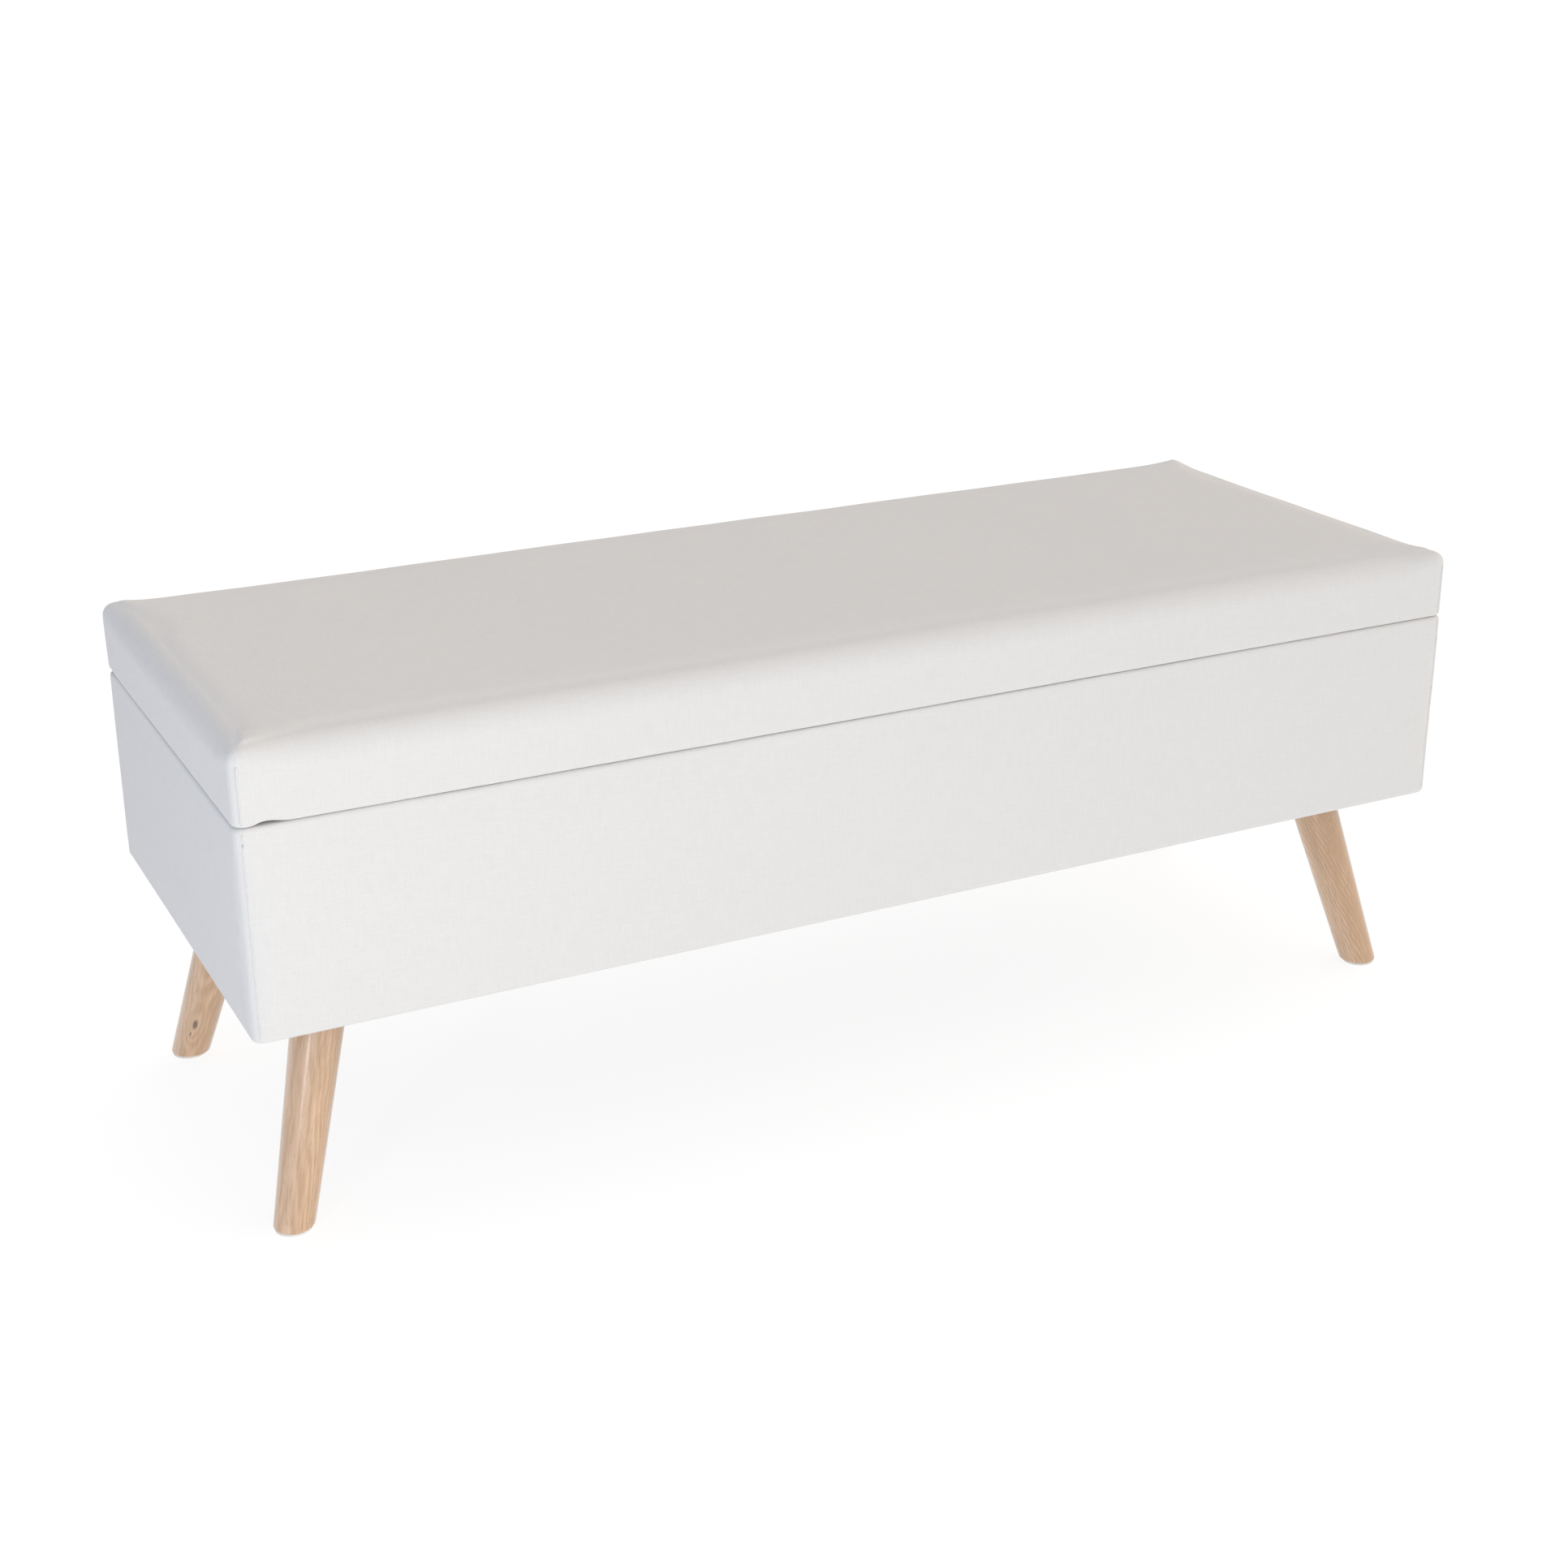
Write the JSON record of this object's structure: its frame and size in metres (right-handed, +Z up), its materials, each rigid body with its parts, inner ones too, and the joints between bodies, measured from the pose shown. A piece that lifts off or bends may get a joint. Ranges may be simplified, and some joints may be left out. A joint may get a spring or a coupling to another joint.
{
  "type": "storage bench",
  "caption": "Fabric-covered storage box on splayed tapered wooden legs, with a padded seat lid that hinges up along its rear edge.",
  "frame": {"origin": "on the floor, under the centre of the whole bench, hinge knuckles included", "axes": "+X along the length, to the right as seen from the front; the front faces -Y; +Z up"},
  "size_m": [1.2, 0.4576, 0.45],
  "materials": {
    "upholstery": "matte",
    "lining": "matte",
    "dust_cloth": "matte",
    "plywood": "matte",
    "leg_wood": "satin",
    "foam": "matte",
    "pad": "matte",
    "steel": "satin"
  },
  "bodies": {
    "box": {"body_cover": "upholstery", "bottom_panel": "plywood", "dust_cover": "dust_cloth", "foot_glide_front_left": "pad", "foot_glide_front_right": "pad", "foot_glide_rear_left": "pad", "foot_glide_rear_right": "pad", "front_panel": "plywood", "hinge_body_leaf_left": "steel", "hinge_body_leaf_right": "steel", "hinge_pin_left": "steel", "hinge_pin_right": "steel", "hinge_screw_body_left_inner": "steel", "hinge_screw_body_left_outer": "steel", "hinge_screw_body_right_inner": "steel", "hinge_screw_body_right_outer": "steel", "left_panel": "plywood", "leg_block_front_left": "plywood", "leg_block_front_right": "plywood", "leg_block_rear_left": "plywood", "leg_block_rear_right": "plywood", "leg_bolt_front_left": "steel", "leg_bolt_front_right": "steel", "leg_bolt_rear_left": "steel", "leg_bolt_rear_right": "steel", "leg_front_left": "leg_wood", "leg_front_right": "leg_wood", "leg_rear_left": "leg_wood", "leg_rear_right": "leg_wood", "lid_bumper_left": "pad", "lid_bumper_right": "pad", "rear_panel": "plywood", "right_panel": "plywood", "stay_body_bracket_left": "steel", "stay_body_bracket_right": "steel", "stay_screw_body_left_front": "steel", "stay_screw_body_left_rear": "steel", "stay_screw_body_right_front": "steel", "stay_screw_body_right_rear": "steel", "storage_lining": "lining"},
    "lid": {"hinge_lid_leaf_left": "steel", "hinge_lid_leaf_right": "steel", "hinge_screw_lid_left_inner": "steel", "hinge_screw_lid_left_outer": "steel", "hinge_screw_lid_right_inner": "steel", "hinge_screw_lid_right_outer": "steel", "lid_board": "plywood", "lid_cover": "upholstery", "lid_foam": "foam", "lid_underside_cloth": "lining", "stay_lid_bracket_left": "steel", "stay_lid_bracket_right": "steel", "stay_screw_lid_left_front": "steel", "stay_screw_lid_left_rear": "steel", "stay_screw_lid_right_front": "steel", "stay_screw_lid_right_rear": "steel"},
    "stay_lower_left": {"stay_lower_arm_left": "steel"},
    "stay_upper_left": {"stay_upper_arm_left": "steel"},
    "stay_lower_right": {"stay_lower_arm_right": "steel"},
    "stay_upper_right": {"stay_upper_arm_right": "steel"}
  },
  "joints": [
    {"name": "lid_hinge", "type": "hinge", "parent": "box", "child": "lid", "pos_m": [0, 0.22525, 0.3855], "axis": [-1, 0, 0], "range_deg": [0, 90]},
    {"name": "stay_lower_pivot_left", "type": "hinge", "parent": "box", "child": "stay_lower_left", "pos_m": [0, 0.07971, 0.34921], "axis": [-1, 0, 0], "range_deg": [0, 90]},
    {"name": "stay_upper_pivot_left", "type": "hinge", "parent": "lid", "child": "stay_upper_left", "pos_m": [0, 0.07558, 0.37556], "axis": [-1, 0, 0], "range_deg": [-90, 0]},
    {"name": "stay_lower_pivot_right", "type": "hinge", "parent": "box", "child": "stay_lower_right", "pos_m": [0, 0.07971, 0.34921], "axis": [-1, 0, 0], "range_deg": [0, 90]},
    {"name": "stay_upper_pivot_right", "type": "hinge", "parent": "lid", "child": "stay_upper_right", "pos_m": [0, 0.07558, 0.37556], "axis": [-1, 0, 0], "range_deg": [-90, 0]}
  ],
  "couplings": [
    {"joint": "stay_lower_pivot_left", "follows": "lid_hinge", "ratio": 1},
    {"joint": "stay_upper_pivot_left", "follows": "lid_hinge", "ratio": -1},
    {"joint": "stay_lower_pivot_right", "follows": "lid_hinge", "ratio": 1},
    {"joint": "stay_upper_pivot_right", "follows": "lid_hinge", "ratio": -1}
  ]
}
